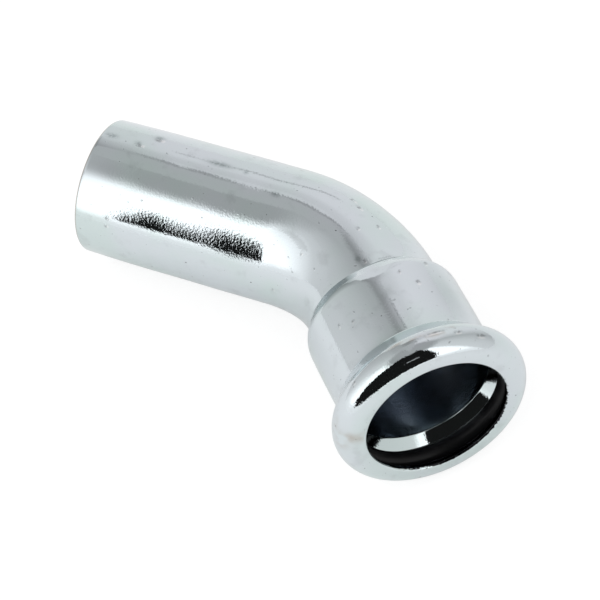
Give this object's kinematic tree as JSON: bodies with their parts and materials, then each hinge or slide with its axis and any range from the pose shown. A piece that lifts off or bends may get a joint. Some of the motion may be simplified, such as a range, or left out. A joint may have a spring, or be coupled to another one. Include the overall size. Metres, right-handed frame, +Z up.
{
  "type": "press-fit pipe elbow",
  "caption": "Press-fit pipe elbow of zinc-plated steel tube, with a plain spigot, a short bend and a formed socket whose rolled bead holds a rubber seal ring.",
  "frame": {"origin": "on the ground, below the middle of the part's box as it lies at rest", "axes": "+Z up; the spigot's axis is along X with its cut end towards -X; the socket turns towards -Y and rises a little, because its bead is larger than the tube"},
  "size_m": [0.077, 0.0454, 0.0305],
  "materials": {
    "zinc_steel": "bright zinc plating over drawn steel tube, satin-bright with a fine grain, light nicks and a few stains",
    "seal_rubber": "smooth black moulded rubber"
  },
  "bodies": {
    "root": {"elbow_body": "zinc_steel", "seal_ring": "seal_rubber"}
  },
  "joints": []
}
